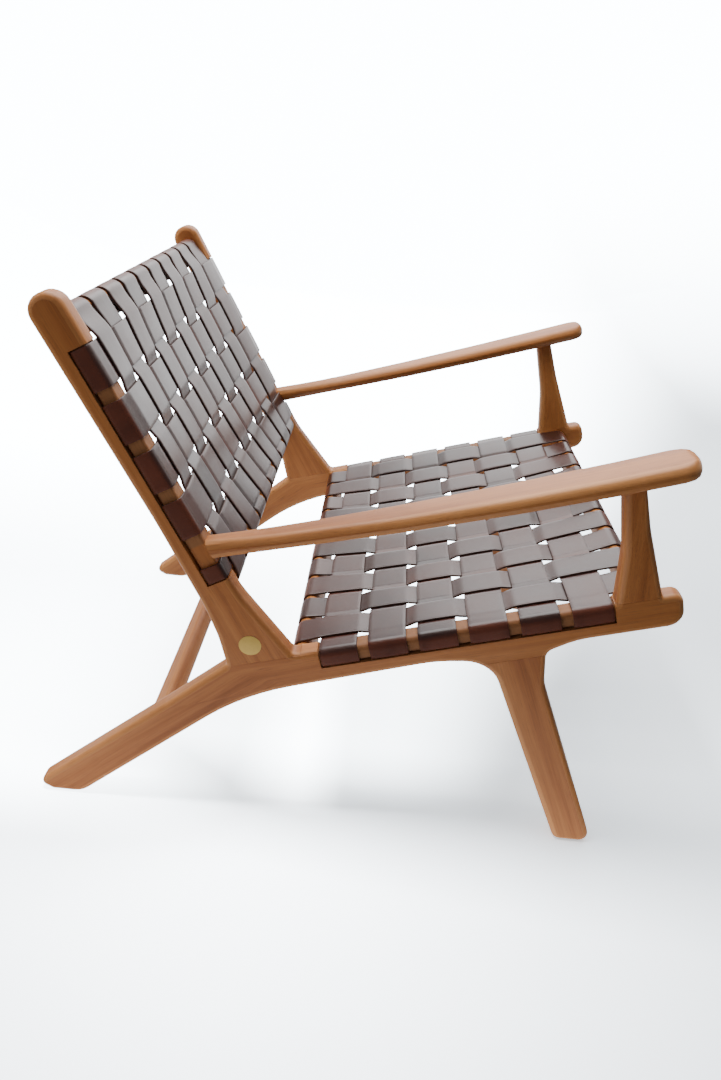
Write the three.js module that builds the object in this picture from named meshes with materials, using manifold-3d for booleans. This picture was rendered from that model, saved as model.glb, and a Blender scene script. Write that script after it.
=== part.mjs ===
// A low lounge chair: a seat and back of woven leather straps on a shaped hardwood frame.
// Millimetres, +Z up. The sitter faces -Y, and the origin is on the floor under the chair's middle.
import * as THREE from 'three';
import { mergeVertices } from 'three/addons/utils/BufferGeometryUtils.js';
import Module from 'manifold-3d';

const wasm = await Module();
wasm.setup();

// Leather straps. The weave sets the depth of the seat and the height of the back.
const STRAP_WIDTH = 50;
const STRAP_THICKNESS = 3;
const LENGTH_STRAPS = 10;         // straps from front to back, and as many up the back
const SEAT_CROSS_STRAPS = 6;
const SEAT_CROSS_GAP = 15;
const BACK_CROSS_STRAPS = 5;
const BACK_CROSS_GAP = 16.4;
const SEAT_SAG = 13;
const BACK_SAG = 17;
const BACK_STRAP_TAIL = 7;        // end of a back strap, past the bar that it wraps
const WEAVE_GAP = 0.4;            // air between two straps that cross
const FIT = 0.3;                  // clearance of pieces that touch

// Side frames
const INNER_WIDTH = 600;          // between the two frames
const FRAME_THICKNESS = 30;
const EDGE_RADIUS = 7.5;
const EDGE_STEPS = 3;
const END_RELIEF = 1.5;           // keeps the two arcs of a round end apart
const SEAT_ANGLE = 17.4;          // slope of the seat, in degrees
const BACK_ANGLE = 29.8;          // lean of the back from upright, in degrees
const SEAT_REAR_Y = 7;            // rear edge of the rearmost cross strap, before the chair is centred
const SEAT_REAR_HEIGHT = 288;
const BACK_SETBACK = 55.3;        // from that edge back to where the line of the back meets the seat
const RAIL_DEPTH = 45;
const RAIL_REAR_DEPTH = 52;       // where the rail bends into the rear leg
const NOSE_REACH = 25;            // rail in front of the arm post
const REAR_FOOT_Y = 334;
const REAR_FOOT_LENGTH = 42;
const HEEL_REACH = 22;
const HEEL_HEIGHT = 12;
const REAR_LEG_DEPTH = 50;
const LEG_BEND = 116;             // from the rearmost cross strap back to the bend under the rail
const FRONT_FOOT_Y = -355;
const FRONT_FOOT_LENGTH = 55;
const LEG_ROOT = 216;             // rear corner of the front leg's root, along the seat
const LEG_ROOT_LENGTH = 71;
const LEG_JOINT_DEPTH = 58;       // glue line of the front leg, below the seat line
const LEG_NECK = 47;              // straight neck of the front leg below that line
const LEG_NECK_TAPER = 8;
const LEG_ROOT_LIFT = 2;          // front corner of the root above the glue line
const LEG_SWELL = 70;             // how far behind the root the rail starts to deepen
const LEG_SWELL_FRONT = 40;
const POST_FOOT_FRONT = 35;       // front and rear of the back post's foot, behind the rearmost cross strap
const POST_FOOT_REAR = 125;
const POST_FLARE = 27;            // the post's front flares from this far below the lowest back strap
const POST_HEEL = { y: 12, z: 44 };
const POST_LET_IN = 2;            // how far the post is let into the rail
const POST_TOE = 10;              // how far its glue line runs on in front of the notch
const POST_TOP_DEPTH = 44;
const POST_FOOT_DEPTH = 50.5;
const POST_WAIST_SHARE = 0.7;     // how much of its taper the post has lost two straps up
const POST_TOP_ABOVE_BAR = 24;

// Radii of the corners in the outline of a side frame
const RADIUS = {
  railUnder: 100,
  legFront: 14,
  legNeck: 60,
  legRear: 80,
  foot: 13,
  railSwell: 200,
  legBend: 340,
  sole: 30,
  heel: 11,
  rearLeg: 300,
  rearNotch: 7,
  postHeel: 90,
  postBack: 200,
  postWaist: 600,
  postFront: 150,
  frontNotch: 8,
  armBase: 3,
  armRearWaist: 150,
  armFrontWaist: 120,
};

// Rebate that lets the strap ends lie flush, and the groove that takes their tips
const REBATE = 3.5;
const GROOVE_HEIGHT = 4;
const GROOVE_DEPTH = 10;
const RAIL_GROOVE = 24;           // from the rail's top to the middle of its groove
const POST_GROOVE_LOW = 28;       // from the post's front to the middle of its groove, at the lowest strap
const POST_GROOVE_HIGH = 23;
const RAIL_BEND = 8;              // radius that a strap end bends over on the rail
const POST_BEND = 4;

// Cross bars
const BAR = 22;
const SEAT_BAR_DEPTH = 36;
const SEAT_BAR_EDGE = 5;
const ROUND_RELIEF = 0.1;         // keeps the arcs of a fully round edge from meeting
const REAR_BAR_MARGIN = 27;       // from the rearmost cross strap back to the middle of the rear bar
const FRONT_BAR_MARGIN = 35;
const TOP_BAR_MARGIN = 44;        // from the highest cross strap to the top of the top bar
const TOP_BAR_SETBACK = 8;        // how far the top bar stands behind the line of the other bars
const LOWEST_ROW = 131.7;           // lower edge of the lowest back strap, up the line of the back
const BOTTOM_BAR_MARGIN = 13;     // from that edge down to the middle of the bottom bar
const STRETCHER_HEIGHT = 133;
const STRETCHER_SIZE = [34, 26];
const STRETCHER_EDGE = 9;
const TENON = 18;
const TENON_SHARE = 0.6;

// Arms
const ARM_POST_GAP = 3.5;         // from the front cross strap to the arm post
const ARM_POST_BASE = 56;
const ARM_POST_HEIGHT = 160;      // square to the seat, to the arm
const ARM_POST_SPLAY = 16;        // outward lean over that height
const ARM_POST_RAKE = 42;         // backward lean of its middle
const ARM_POST_REAR_WAIST = { y: 9, z: 74 };      // from the corners of its base
const ARM_POST_FRONT_WAIST = { y: 40, z: 92 };
const ARM_POST_REAR_NECK = { y: 24, z: 92 };      // from there up, past the arm's underside
const ARM_POST_FRONT_NECK = { y: 33, z: 92 };
const ARM_REAR = { width: 31, thickness: 20 };
const ARM_KNUCKLE = 5;            // extra thickness where the arm meets the back post
const ARM_KNUCKLE_SHARE = 0.22;
const ARM_FRONT = { width: 62, thickness: 23 };
const ARM_INSET = 2;              // inner edge of the arm, out from the frame's inner face
const ARM_RISE = 177;             // from the arm's rear end to its tip
const ARM_OVERHANG = 61;          // from the middle of the arm post's top to the arm's tip
const ARM_HOLLOW = 11;            // how far the arm's line dips below a straight one
const ARM_TIP_RADIUS = 24;
const ARM_EDGE_RADIUS = 9;
const ARM_EDGE_POINTS = 3;        // round each long edge
const ARM_BELOW_STRAP = 12;       // wood between the arm's top and the back strap above it
const NOTCH_BELOW_ARM = 8;

// Dowels
const DOWEL_RADIUS = 5;
const ARM_DOWEL_RADIUS = 4;
const DOWEL_DEPTH = 20;

const CURVE_TOLERANCE = 0.25;
const ARC_STEP = 22.5;            // degrees between the cross-sections of a bent strap

const teak = new THREE.MeshStandardMaterial({ color: 0x96603a, roughness: 0.5, metalness: 0 });
const leather = new THREE.MeshStandardMaterial({ color: 0x3c2119, roughness: 0.42, metalness: 0 });
const beech = new THREE.MeshStandardMaterial({ color: 0xc9a877, roughness: 0.7, metalness: 0 });

// Sizes that follow from those above
const RADIAN = Math.PI / 180;
const LENGTH_PITCH = INNER_WIDTH / LENGTH_STRAPS;
const HALF_INNER = INNER_WIDTH / 2;
const OUTER_FACE = HALF_INNER + FRAME_THICKNESS;
const MIDDLE = HALF_INNER + FRAME_THICKNESS / 2;
const WRAP = FIT + STRAP_THICKNESS / 2;
const WEAVE_LEVEL = WRAP - REBATE;
const WEAVE_HEIGHT = (STRAP_THICKNESS + WEAVE_GAP) / 2;
const FOLD_LEVEL = -REBATE - BAR / 2;

// A sloping plane parallel to X: along runs up its slope, out stands square to it.
const seat = {
  y: SEAT_REAR_Y,
  z: SEAT_REAR_HEIGHT,
  along: new THREE.Vector3(0, -Math.cos(SEAT_ANGLE * RADIAN), Math.sin(SEAT_ANGLE * RADIAN)),
  out: new THREE.Vector3(0, Math.sin(SEAT_ANGLE * RADIAN), Math.cos(SEAT_ANGLE * RADIAN)),
};
const backFoot = at(seat, 0, -BACK_SETBACK, 0);
const back = {
  y: backFoot.y,
  z: backFoot.z,
  along: new THREE.Vector3(0, Math.sin(BACK_ANGLE * RADIAN), Math.cos(BACK_ANGLE * RADIAN)),
  out: new THREE.Vector3(0, -Math.cos(BACK_ANGLE * RADIAN), Math.sin(BACK_ANGLE * RADIAN)),
};

function at(plane, x, along, out) {
  const point = new THREE.Vector3(x, plane.y, plane.z);
  return point.addScaledVector(plane.along, along).addScaledVector(plane.out, out);
}

// The two woven panels, with the places of their cross straps along them
function crossCentres(first, count, gap) {
  return Array.from({ length: count }, (_, index) => first + STRAP_WIDTH / 2 + index * (STRAP_WIDTH + gap));
}

const seatRows = crossCentres(0, SEAT_CROSS_STRAPS, SEAT_CROSS_GAP);
const backRows = crossCentres(LOWEST_ROW, BACK_CROSS_STRAPS, BACK_CROSS_GAP);
const seatFront = seatRows.at(-1) + STRAP_WIDTH / 2;
const backTop = backRows.at(-1) + STRAP_WIDTH / 2 + TOP_BAR_MARGIN;
const seatPanel = {
  plane: seat,
  rows: seatRows,
  sag: SEAT_SAG,
  low: -REAR_BAR_MARGIN,
  high: seatFront + FRONT_BAR_MARGIN,
};
const backPanel = {
  plane: back,
  rows: backRows,
  sag: BACK_SAG,
  low: LOWEST_ROW - BOTTOM_BAR_MARGIN,
  high: backTop - BAR / 2,
};

// Solids

function closedBody(points, triangles) {
  const geometry = new THREE.BufferGeometry().setFromPoints(points);
  const volume = triangles.reduce((sum, [a, b, c]) => {
    return sum + points[a].dot(points[b].clone().cross(points[c]));
  }, 0);
  geometry.setIndex(triangles.flatMap(([a, b, c]) => (volume > 0 ? [a, b, c] : [a, c, b])));
  return geometry;
}

// Joins rings of equal size into one closed body. A side listed in turned is split along its other diagonal.
function loft(rings, turned = []) {
  const size = rings[0].length;
  const triangles = [];
  for (let ring = 0; ring + 1 < rings.length; ring += 1) {
    for (let side = 0; side < size; side += 1) {
      const a = ring * size + side;
      const b = ring * size + (side + 1) % size;
      const c = b + size;
      const d = a + size;
      if (turned.includes(side)) {
        triangles.push([a, b, d], [b, c, d]);
      } else {
        triangles.push([a, b, c], [a, c, d]);
      }
    }
  }
  const last = (rings.length - 1) * size;
  for (const [a, b, c] of capTriangles(rings[0])) {
    triangles.push([a, c, b], [last + a, last + b, last + c]);
  }
  return closedBody(rings.flat(), triangles);
}

// Splits a flat ring into triangles, seen along the axis that it faces most.
function capTriangles(ring) {
  const spread = new THREE.Box3().setFromPoints(ring).getSize(new THREE.Vector3());
  const axes = ['x', 'y', 'z'].sort((one, other) => spread[other] - spread[one]).slice(0, 2);
  const flat = ring.map((point) => new THREE.Vector2(point[axes[0]], point[axes[1]]));
  const turn = THREE.ShapeUtils.isClockWise(flat);
  const order = flat.map((_, index) => (turn ? flat.length - 1 - index : index));
  const faces = THREE.ShapeUtils.triangulateShape(order.map((index) => flat[index]), []);
  return faces.map(([a, b, c]) => (turn ? [order[a], order[c], order[b]] : [order[a], order[b], order[c]]));
}

function toSolid(geometry) {
  const bare = geometry.clone();
  bare.deleteAttribute('normal');
  bare.deleteAttribute('uv');
  const merged = mergeVertices(bare, 1e-4);
  return new wasm.Manifold(new wasm.Mesh({
    numProp: 3,
    vertProperties: new Float32Array(merged.attributes.position.array),
    triVerts: new Uint32Array(merged.index.array),
  }));
}

function toGeometry(solid) {
  const mesh = solid.getMesh();
  const geometry = new THREE.BufferGeometry();
  geometry.setAttribute('position', new THREE.BufferAttribute(new Float32Array(mesh.vertProperties), 3));
  geometry.setIndex(new THREE.BufferAttribute(new Uint32Array(mesh.triVerts), 1));
  return geometry;
}

function cut(geometry, cutters) {
  return toGeometry(cutters.reduce((solid, cutter) => solid.subtract(toSolid(cutter)), toSolid(geometry)));
}

function keep(geometry, region) {
  return toGeometry(toSolid(geometry).intersect(toSolid(region)));
}

function mirrored(geometry) {
  const copy = geometry.clone().scale(-1, 1, 1);
  const order = copy.index.array;
  for (let first = 0; first < order.length; first += 3) {
    [order[first], order[first + 1]] = [order[first + 1], order[first]];
  }
  return copy;
}

// Outlines: corners are {y, z, radius}, and each is rounded by an arc.

function corner(point, radius = 0) {
  return { y: point.y, z: point.z, radius };
}

function floorPoint(y, z) {
  return new THREE.Vector3(0, y, z);
}

function moved(point, { y, z }) {
  return point.clone().add(floorPoint(y, z));
}

function roundCorner(before, here, after) {
  const tip = new THREE.Vector2(here.y, here.z);
  const toBefore = new THREE.Vector2(before.y, before.z).sub(tip);
  const toAfter = new THREE.Vector2(after.y, after.z).sub(tip);
  const room = 0.499 * Math.min(toBefore.length(), toAfter.length());
  toBefore.normalize();
  toAfter.normalize();
  const halfAngle = Math.acos(THREE.MathUtils.clamp(toBefore.dot(toAfter), -1, 1)) / 2;
  const reach = Math.min(here.radius / Math.tan(halfAngle), room);
  const radius = reach * Math.tan(halfAngle);
  if (radius <= CURVE_TOLERANCE) {
    return [tip];
  }
  const bisector = toBefore.clone().add(toAfter).normalize();
  const centre = tip.clone().addScaledVector(bisector, radius / Math.sin(halfAngle));
  const start = tip.clone().addScaledVector(toBefore, reach);
  const turn = Math.PI - 2 * halfAngle;
  const steps = Math.ceil(turn / (2 * Math.acos(1 - CURVE_TOLERANCE / radius)));
  const direction = Math.sign(toAfter.cross(toBefore));
  return Array.from({ length: steps + 1 }, (_, step) => {
    return start.clone().rotateAround(centre, direction * turn * step / steps);
  });
}

function roundedOutline(corners) {
  const count = corners.length;
  return corners.flatMap((here, index) => {
    return roundCorner(corners[(index + count - 1) % count], here, corners[(index + 1) % count]);
  });
}

// A board standing square to X between two places, with its long edges rounded.
function board(outline, low, high, edge) {
  const geometry = new THREE.ExtrudeGeometry(new THREE.Shape(outline), {
    depth: high - low - 2 * edge,
    bevelEnabled: edge > 0,
    bevelThickness: edge,
    bevelSize: edge,
    bevelOffset: -edge,
    bevelSegments: EDGE_STEPS,
  });
  const sideways = new THREE.Matrix4().set(0, 0, 1, low + edge, 1, 0, 0, 0, 0, 1, 0, 0, 0, 0, 0, 1);
  return geometry.applyMatrix4(sideways);
}

// A region right through a side frame, for cutting it at its joints
function region(points) {
  const outline = points.map((point) => new THREE.Vector2(point.y, point.z));
  return board(outline, HALF_INNER - FRAME_THICKNESS, OUTER_FACE + FRAME_THICKNESS, 0);
}

function rod(from, to, radius) {
  const length = from.distanceTo(to);
  const geometry = new THREE.CylinderGeometry(radius, radius, length, 8);
  const direction = to.clone().sub(from).normalize();
  geometry.applyQuaternion(new THREE.Quaternion().setFromUnitVectors(new THREE.Vector3(0, 1, 0), direction));
  geometry.translate(...from.clone().lerp(to, 0.5).toArray());
  return geometry;
}

// Side frame: rail with rear leg, back post, front leg and arm post, shaped as one and cut at the glue lines

const railTip = seatFront + ARM_POST_GAP + ARM_POST_BASE + NOSE_REACH;
const armBaseRear = seatFront + ARM_POST_GAP;
const armBaseFront = armBaseRear + ARM_POST_BASE;
const frontNotch = at(seat, 0, -POST_FOOT_FRONT, 0);
const rearNotch = at(seat, 0, -POST_FOOT_REAR, 0);
const legBend = at(seat, 0, -LEG_BEND, -RAIL_REAR_DEPTH);
const rearFoot = floorPoint(REAR_FOOT_Y, 0);
const heelBottom = floorPoint(REAR_FOOT_Y + REAR_FOOT_LENGTH, 0);
const heelTip = floorPoint(heelBottom.y + HEEL_REACH, HEEL_HEIGHT);
const postTop = backTop + POST_TOP_ABOVE_BAR;

// A point of the rear leg's upper edge, two leg depths down from the bend
function rearLegTop() {
  const down = rearFoot.clone().sub(legBend).normalize();
  const square = new THREE.Vector3(0, -down.z, down.y);
  return legBend.clone().addScaledVector(down, 2 * REAR_LEG_DEPTH).addScaledVector(square, REAR_LEG_DEPTH);
}

function sideOutline() {
  const nose = RAIL_DEPTH / 2 - END_RELIEF;
  const crown = POST_TOP_DEPTH / 2 - END_RELIEF;
  const armRearBase = at(seat, 0, armBaseRear, 0);
  const armFrontBase = at(seat, 0, armBaseFront, 0);
  const armRearWaist = moved(armRearBase, ARM_POST_REAR_WAIST);
  const armFrontWaist = moved(armFrontBase, ARM_POST_FRONT_WAIST);
  const legFront = LEG_ROOT + LEG_ROOT_LENGTH;
  const postFoot = LOWEST_ROW - POST_FLARE;
  const postWaist = LOWEST_ROW + 2 * STRAP_WIDTH;
  const postWaistDepth = THREE.MathUtils.lerp(POST_FOOT_DEPTH, POST_TOP_DEPTH, POST_WAIST_SHARE);
  return roundedOutline([
    corner(at(seat, 0, railTip, 0), nose),
    corner(at(seat, 0, railTip, -RAIL_DEPTH), nose),
    corner(at(seat, 0, legFront + LEG_SWELL_FRONT, -RAIL_DEPTH), RADIUS.railUnder),
    corner(at(seat, 0, legFront, LEG_ROOT_LIFT - LEG_JOINT_DEPTH), RADIUS.legFront),
    corner(at(seat, 0, legFront - LEG_NECK_TAPER, -LEG_JOINT_DEPTH - LEG_NECK), RADIUS.legNeck),
    corner(floorPoint(FRONT_FOOT_Y - FRONT_FOOT_LENGTH, 0), RADIUS.foot),
    corner(floorPoint(FRONT_FOOT_Y, 0), RADIUS.foot),
    corner(at(seat, 0, LEG_ROOT, -LEG_JOINT_DEPTH), RADIUS.legRear),
    corner(at(seat, 0, LEG_ROOT - LEG_SWELL, -RAIL_DEPTH), RADIUS.railSwell),
    corner(legBend, RADIUS.legBend),
    corner(rearFoot, RADIUS.sole),
    corner(heelBottom, RADIUS.heel),
    corner(heelTip, RADIUS.heel),
    corner(rearLegTop(), RADIUS.rearLeg),
    corner(rearNotch, RADIUS.rearNotch),
    corner(moved(rearNotch, POST_HEEL), RADIUS.postHeel),
    corner(at(back, 0, postFoot, -POST_FOOT_DEPTH), RADIUS.postBack),
    corner(at(back, 0, postWaist, -postWaistDepth), RADIUS.postWaist),
    corner(at(back, 0, postTop, -POST_TOP_DEPTH), crown),
    corner(at(back, 0, postTop, 0), crown),
    corner(at(back, 0, postFoot, 0), RADIUS.postFront),
    corner(frontNotch, RADIUS.frontNotch),
    corner(armRearBase, RADIUS.armBase),
    corner(armRearWaist, RADIUS.armRearWaist),
    corner(moved(armRearWaist, ARM_POST_REAR_NECK)),
    corner(moved(armFrontWaist, ARM_POST_FRONT_NECK)),
    corner(armFrontWaist, RADIUS.armFrontWaist),
    corner(armFrontBase, RADIUS.armBase),
  ]);
}

function postRegion(gap) {
  const front = at(seat, 0, POST_TOE - POST_FOOT_FRONT - gap, gap - POST_LET_IN);
  const joint = rearNotch.clone().sub(front).normalize();
  const rear = rearNotch.clone().addScaledVector(joint, postTop).add(floorPoint(0, gap));
  const up = floorPoint(0, 2 * postTop);
  return region([front, rear, rear.clone().add(up), front.clone().add(up)]);
}

function frontLegRegion(gap) {
  const level = -LEG_JOINT_DEPTH - gap;
  const rear = at(seat, 0, LEG_ROOT - LEG_SWELL, level);
  const front = at(seat, 0, LEG_ROOT + LEG_ROOT_LENGTH + LEG_SWELL_FRONT, level);
  const toe = floorPoint(FRONT_FOOT_Y - 2 * FRONT_FOOT_LENGTH, -FRAME_THICKNESS);
  return region([rear, front, toe, floorPoint(rear.y, -FRAME_THICKNESS)]);
}

function armPostRegion(gap) {
  const foot = gap + CURVE_TOLERANCE;
  const top = 2 * ARM_POST_HEIGHT;
  const front = ARM_POST_BASE + ARM_POST_GAP;
  const corners = [[-ARM_POST_GAP, foot], [front, foot], [front, top], [-2 * ARM_POST_BASE, top]];
  return region(corners.map(([along, out]) => at(seat, 0, armBaseRear + along, out)));
}

// The rebate and groove for strap ends on a rail or post, between two places along it
function strapBed(plane, ends, bend) {
  const arc = [0, 30, 60, 90].map((angle) => [
    REBATE + bend - bend * Math.cos(angle * RADIAN),
    -REBATE - bend + bend * Math.sin(angle * RADIAN),
  ]);
  return loft(ends.map(({ along, groove }) => {
    const high = GROOVE_HEIGHT / 2 - groove;
    const section = [
      [-1, high - GROOVE_HEIGHT],
      [GROOVE_DEPTH, high - GROOVE_HEIGHT],
      [GROOVE_DEPTH, high],
      [REBATE, high],
      ...arc,
      [FRAME_THICKNESS + 1, -REBATE],
      [FRAME_THICKNESS + 1, REBATE],
      [-1, REBATE],
    ];
    return section.map(([inward, out]) => at(plane, OUTER_FACE - inward, along, out));
  }));
}

function postGroove(along) {
  const share = (along - LOWEST_ROW) / (backRows.at(-1) + STRAP_WIDTH / 2 - LOWEST_ROW);
  return THREE.MathUtils.lerp(POST_GROOVE_LOW, POST_GROOVE_HIGH, share);
}

// Cross bars with tenons. A section is a list of corners across the bar, about its middle.

function barSection(low, high, radii) {
  const corners = [low, [high[0], low[1]], high, [low[0], high[1]]];
  return roundedOutline(corners.map(([y, z], index) => ({ y, z, radius: radii[index] })));
}

function scaledSection(section, share) {
  const middle = new THREE.Box2().setFromPoints(section).getCenter(new THREE.Vector2());
  return section.map((point) => point.clone().sub(middle).multiplyScalar(share).add(middle));
}

function barRing(bar, section, x) {
  return section.map((point) => at(bar.plane, x, bar.along + point.x, bar.out + point.y));
}

function barGeometry(bar) {
  const tenon = scaledSection(bar.section, TENON_SHARE);
  const shoulder = HALF_INNER - FIT;
  const end = HALF_INNER + TENON;
  return loft([
    barRing(bar, tenon, -end),
    barRing(bar, tenon, -shoulder),
    barRing(bar, bar.section, -shoulder),
    barRing(bar, bar.section, shoulder),
    barRing(bar, tenon, shoulder),
    barRing(bar, tenon, end),
  ]);
}

function mortise(bar) {
  const hole = scaledSection(bar.section, TENON_SHARE + 2 * FIT / BAR);
  return loft([barRing(bar, hole, HALF_INNER - 1), barRing(bar, hole, HALF_INNER + TENON + FIT)]);
}

function seatBar(along) {
  const half = BAR / 2;
  const round = half - ROUND_RELIEF;
  const radii = [SEAT_BAR_EDGE, SEAT_BAR_EDGE, round, round];
  const section = barSection([-half, half - SEAT_BAR_DEPTH], [half, half], radii);
  return { plane: seat, along, out: FOLD_LEVEL, section };
}

function backBar(along, setback = 0) {
  const half = BAR / 2;
  const section = barSection([-half, -half], [half, half], Array(4).fill(half - ROUND_RELIEF));
  return { plane: back, along, out: FOLD_LEVEL - setback, section };
}

// The y of a sloping line at a height
function lineAtHeight(from, to, z) {
  return THREE.MathUtils.lerp(from.y, to.y, (z - from.z) / (to.z - from.z));
}

function stretcherBar() {
  const underside = lineAtHeight(legBend, rearFoot, STRETCHER_HEIGHT);
  const topside = lineAtHeight(rearLegTop(), heelTip, STRETCHER_HEIGHT);
  const slope = rearFoot.clone().sub(legBend).normalize();
  const plane = {
    y: (underside + topside) / 2,
    z: STRETCHER_HEIGHT,
    along: slope,
    out: new THREE.Vector3(0, -slope.z, slope.y),
  };
  const half = STRETCHER_SIZE.map((size) => size / 2);
  const section = barSection([-half[0], -half[1]], half, Array(4).fill(STRETCHER_EDGE));
  return { plane, along: 0, out: 0, section };
}

const bars = {
  rear_seat_bar: seatBar(seatPanel.low),
  front_seat_bar: seatBar(seatPanel.high),
  bottom_back_bar: backBar(backPanel.low),
  top_back_bar: backBar(backPanel.high, TOP_BAR_SETBACK),
  rear_stretcher: stretcherBar(),
};

// Arm: rounded sections along a gently hollow line, wider towards a round tip

const armHalfRear = (ARM_REAR.thickness + ARM_KNUCKLE) / 2;
const armMiddle = backRows[1] - STRAP_WIDTH / 2 - ARM_BELOW_STRAP - armHalfRear;
const armEnd = at(back, 0, armMiddle, FIT - REBATE);
const armPostTop = at(seat, 0, armBaseRear + ARM_POST_BASE / 2, 0).add(floorPoint(ARM_POST_RAKE, 0));
const armTip = floorPoint(armPostTop.y - ARM_OVERHANG, armEnd.z + ARM_RISE);
const armBend = armEnd.clone().lerp(armTip, 0.45).add(floorPoint(0, -ARM_HOLLOW));
const armLine = new THREE.QuadraticBezierCurve3(armEnd, armBend, armTip);
const armLength = armLine.getLength();

function armSize(share) {
  const spread = Math.sin(share * Math.PI / 2);
  const knuckle = ARM_KNUCKLE * Math.max(0, 1 - share / ARM_KNUCKLE_SHARE) ** 2;
  return {
    width: THREE.MathUtils.lerp(ARM_REAR.width, ARM_FRONT.width, spread),
    thickness: THREE.MathUtils.lerp(ARM_REAR.thickness, ARM_FRONT.thickness, share * share) + knuckle,
  };
}

function armNormal(share) {
  const tangent = armLine.getTangentAt(share);
  return new THREE.Vector3(0, tangent.z, -tangent.y);
}

// How far an end rounded by an arc draws in, at a distance from its tip
function endInset(radius, distance) {
  const short = Math.max(0, radius - distance);
  return radius - Math.sqrt(radius * radius - short * short);
}

function armRing(distance) {
  const share = Math.min(1, 1 - distance / armLength);
  const size = armSize(Math.max(0, share));
  const middle = armLine.getPointAt(Math.max(0, share));
  middle.addScaledVector(armLine.getTangentAt(0), Math.min(0, share) * armLength);
  const halfWidth = size.width / 2 - endInset(ARM_TIP_RADIUS, distance);
  const halfThickness = size.thickness / 2 - endInset(ARM_EDGE_RADIUS, distance);
  const edge = Math.min(ARM_EDGE_RADIUS, 0.9 * halfThickness);
  const normal = armNormal(Math.max(0, share));
  const x = HALF_INNER + ARM_INSET + size.width / 2;
  return Array.from({ length: 4 * ARM_EDGE_POINTS }, (_, index) => {
    const quarter = Math.floor(index / ARM_EDGE_POINTS);
    const angle = 90 * (quarter + (index % ARM_EDGE_POINTS) / (ARM_EDGE_POINTS - 1)) * RADIAN;
    const across = [1, -1, -1, 1][quarter] * (halfWidth - edge) + edge * Math.cos(angle);
    const up = [1, 1, -1, -1][quarter] * (halfThickness - edge) + edge * Math.sin(angle);
    return middle.clone().setX(x + across).addScaledVector(normal, up);
  });
}

function armBlank() {
  const tip = [0, 0.08, 0.25, 0.54, 1].map((share) => share * ARM_TIP_RADIUS);
  const along = [0.15, 0.35, 0.58, 0.78, 0.86, 0.93, 1.02].map((share) => share * armLength);
  return loft([...tip, ...along].map(armRing));
}

// How far along the arm its post stands
const armPostShare = (armEnd.y - armPostTop.y) / (armEnd.y - armTip.y);

function underArm(share, gap) {
  return armLine.getPointAt(share).addScaledVector(armNormal(share), -armSize(share).thickness / 2 - gap);
}

function overArmPost() {
  const reach = ARM_POST_BASE / armLength;
  const rear = underArm(armPostShare - reach, FIT);
  const front = underArm(Math.min(1, armPostShare + reach), FIT);
  const up = floorPoint(0, ARM_POST_HEIGHT);
  return region([rear, front, front.clone().add(up), rear.clone().add(up)]);
}

function splayed(geometry) {
  const position = geometry.attributes.position;
  for (let index = 0; index < position.count; index += 1) {
    const point = new THREE.Vector3().fromBufferAttribute(position, index);
    const height = point.sub(new THREE.Vector3(0, seat.y, seat.z)).dot(seat.out);
    position.setX(index, position.getX(index) + ARM_POST_SPLAY * height / ARM_POST_HEIGHT);
  }
  return geometry;
}

// Dowels, each with the hole that it leaves in the two pieces that it joins

function dowel(middle, direction, radius) {
  const along = direction.clone().setLength(DOWEL_DEPTH);
  const hole = direction.clone().setLength(DOWEL_DEPTH + FIT);
  return {
    peg: rod(middle.clone().sub(along), middle.clone().add(along), radius),
    hole: rod(middle.clone().sub(hole), middle.clone().add(hole), radius + FIT),
  };
}

const postFootMiddle = at(seat, MIDDLE, -(POST_FOOT_FRONT + POST_FOOT_REAR) / 2, 0);
const legRootMiddle = at(seat, MIDDLE, LEG_ROOT + LEG_ROOT_LENGTH / 2, -LEG_JOINT_DEPTH);
const armPostFoot = at(seat, MIDDLE, armBaseRear + 4 * ARM_DOWEL_RADIUS, 0);
const armPostHead = underArm(armPostShare, FIT).setX(MIDDLE + ARM_POST_SPLAY);
const armRearMiddle = armEnd.clone().setX(HALF_INNER + ARM_INSET + ARM_REAR.width / 2);
const dowels = {
  post_dowel: dowel(postFootMiddle, seat.out, DOWEL_RADIUS),
  front_leg_dowel: dowel(legRootMiddle, seat.out, DOWEL_RADIUS),
  arm_post_lower_dowel: dowel(armPostFoot, seat.out, ARM_DOWEL_RADIUS),
  arm_post_upper_dowel: dowel(armPostHead, armNormal(armPostShare), ARM_DOWEL_RADIUS),
  arm_rear_dowel: dowel(armRearMiddle, armLine.getTangentAt(0), ARM_DOWEL_RADIUS),
};

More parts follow.
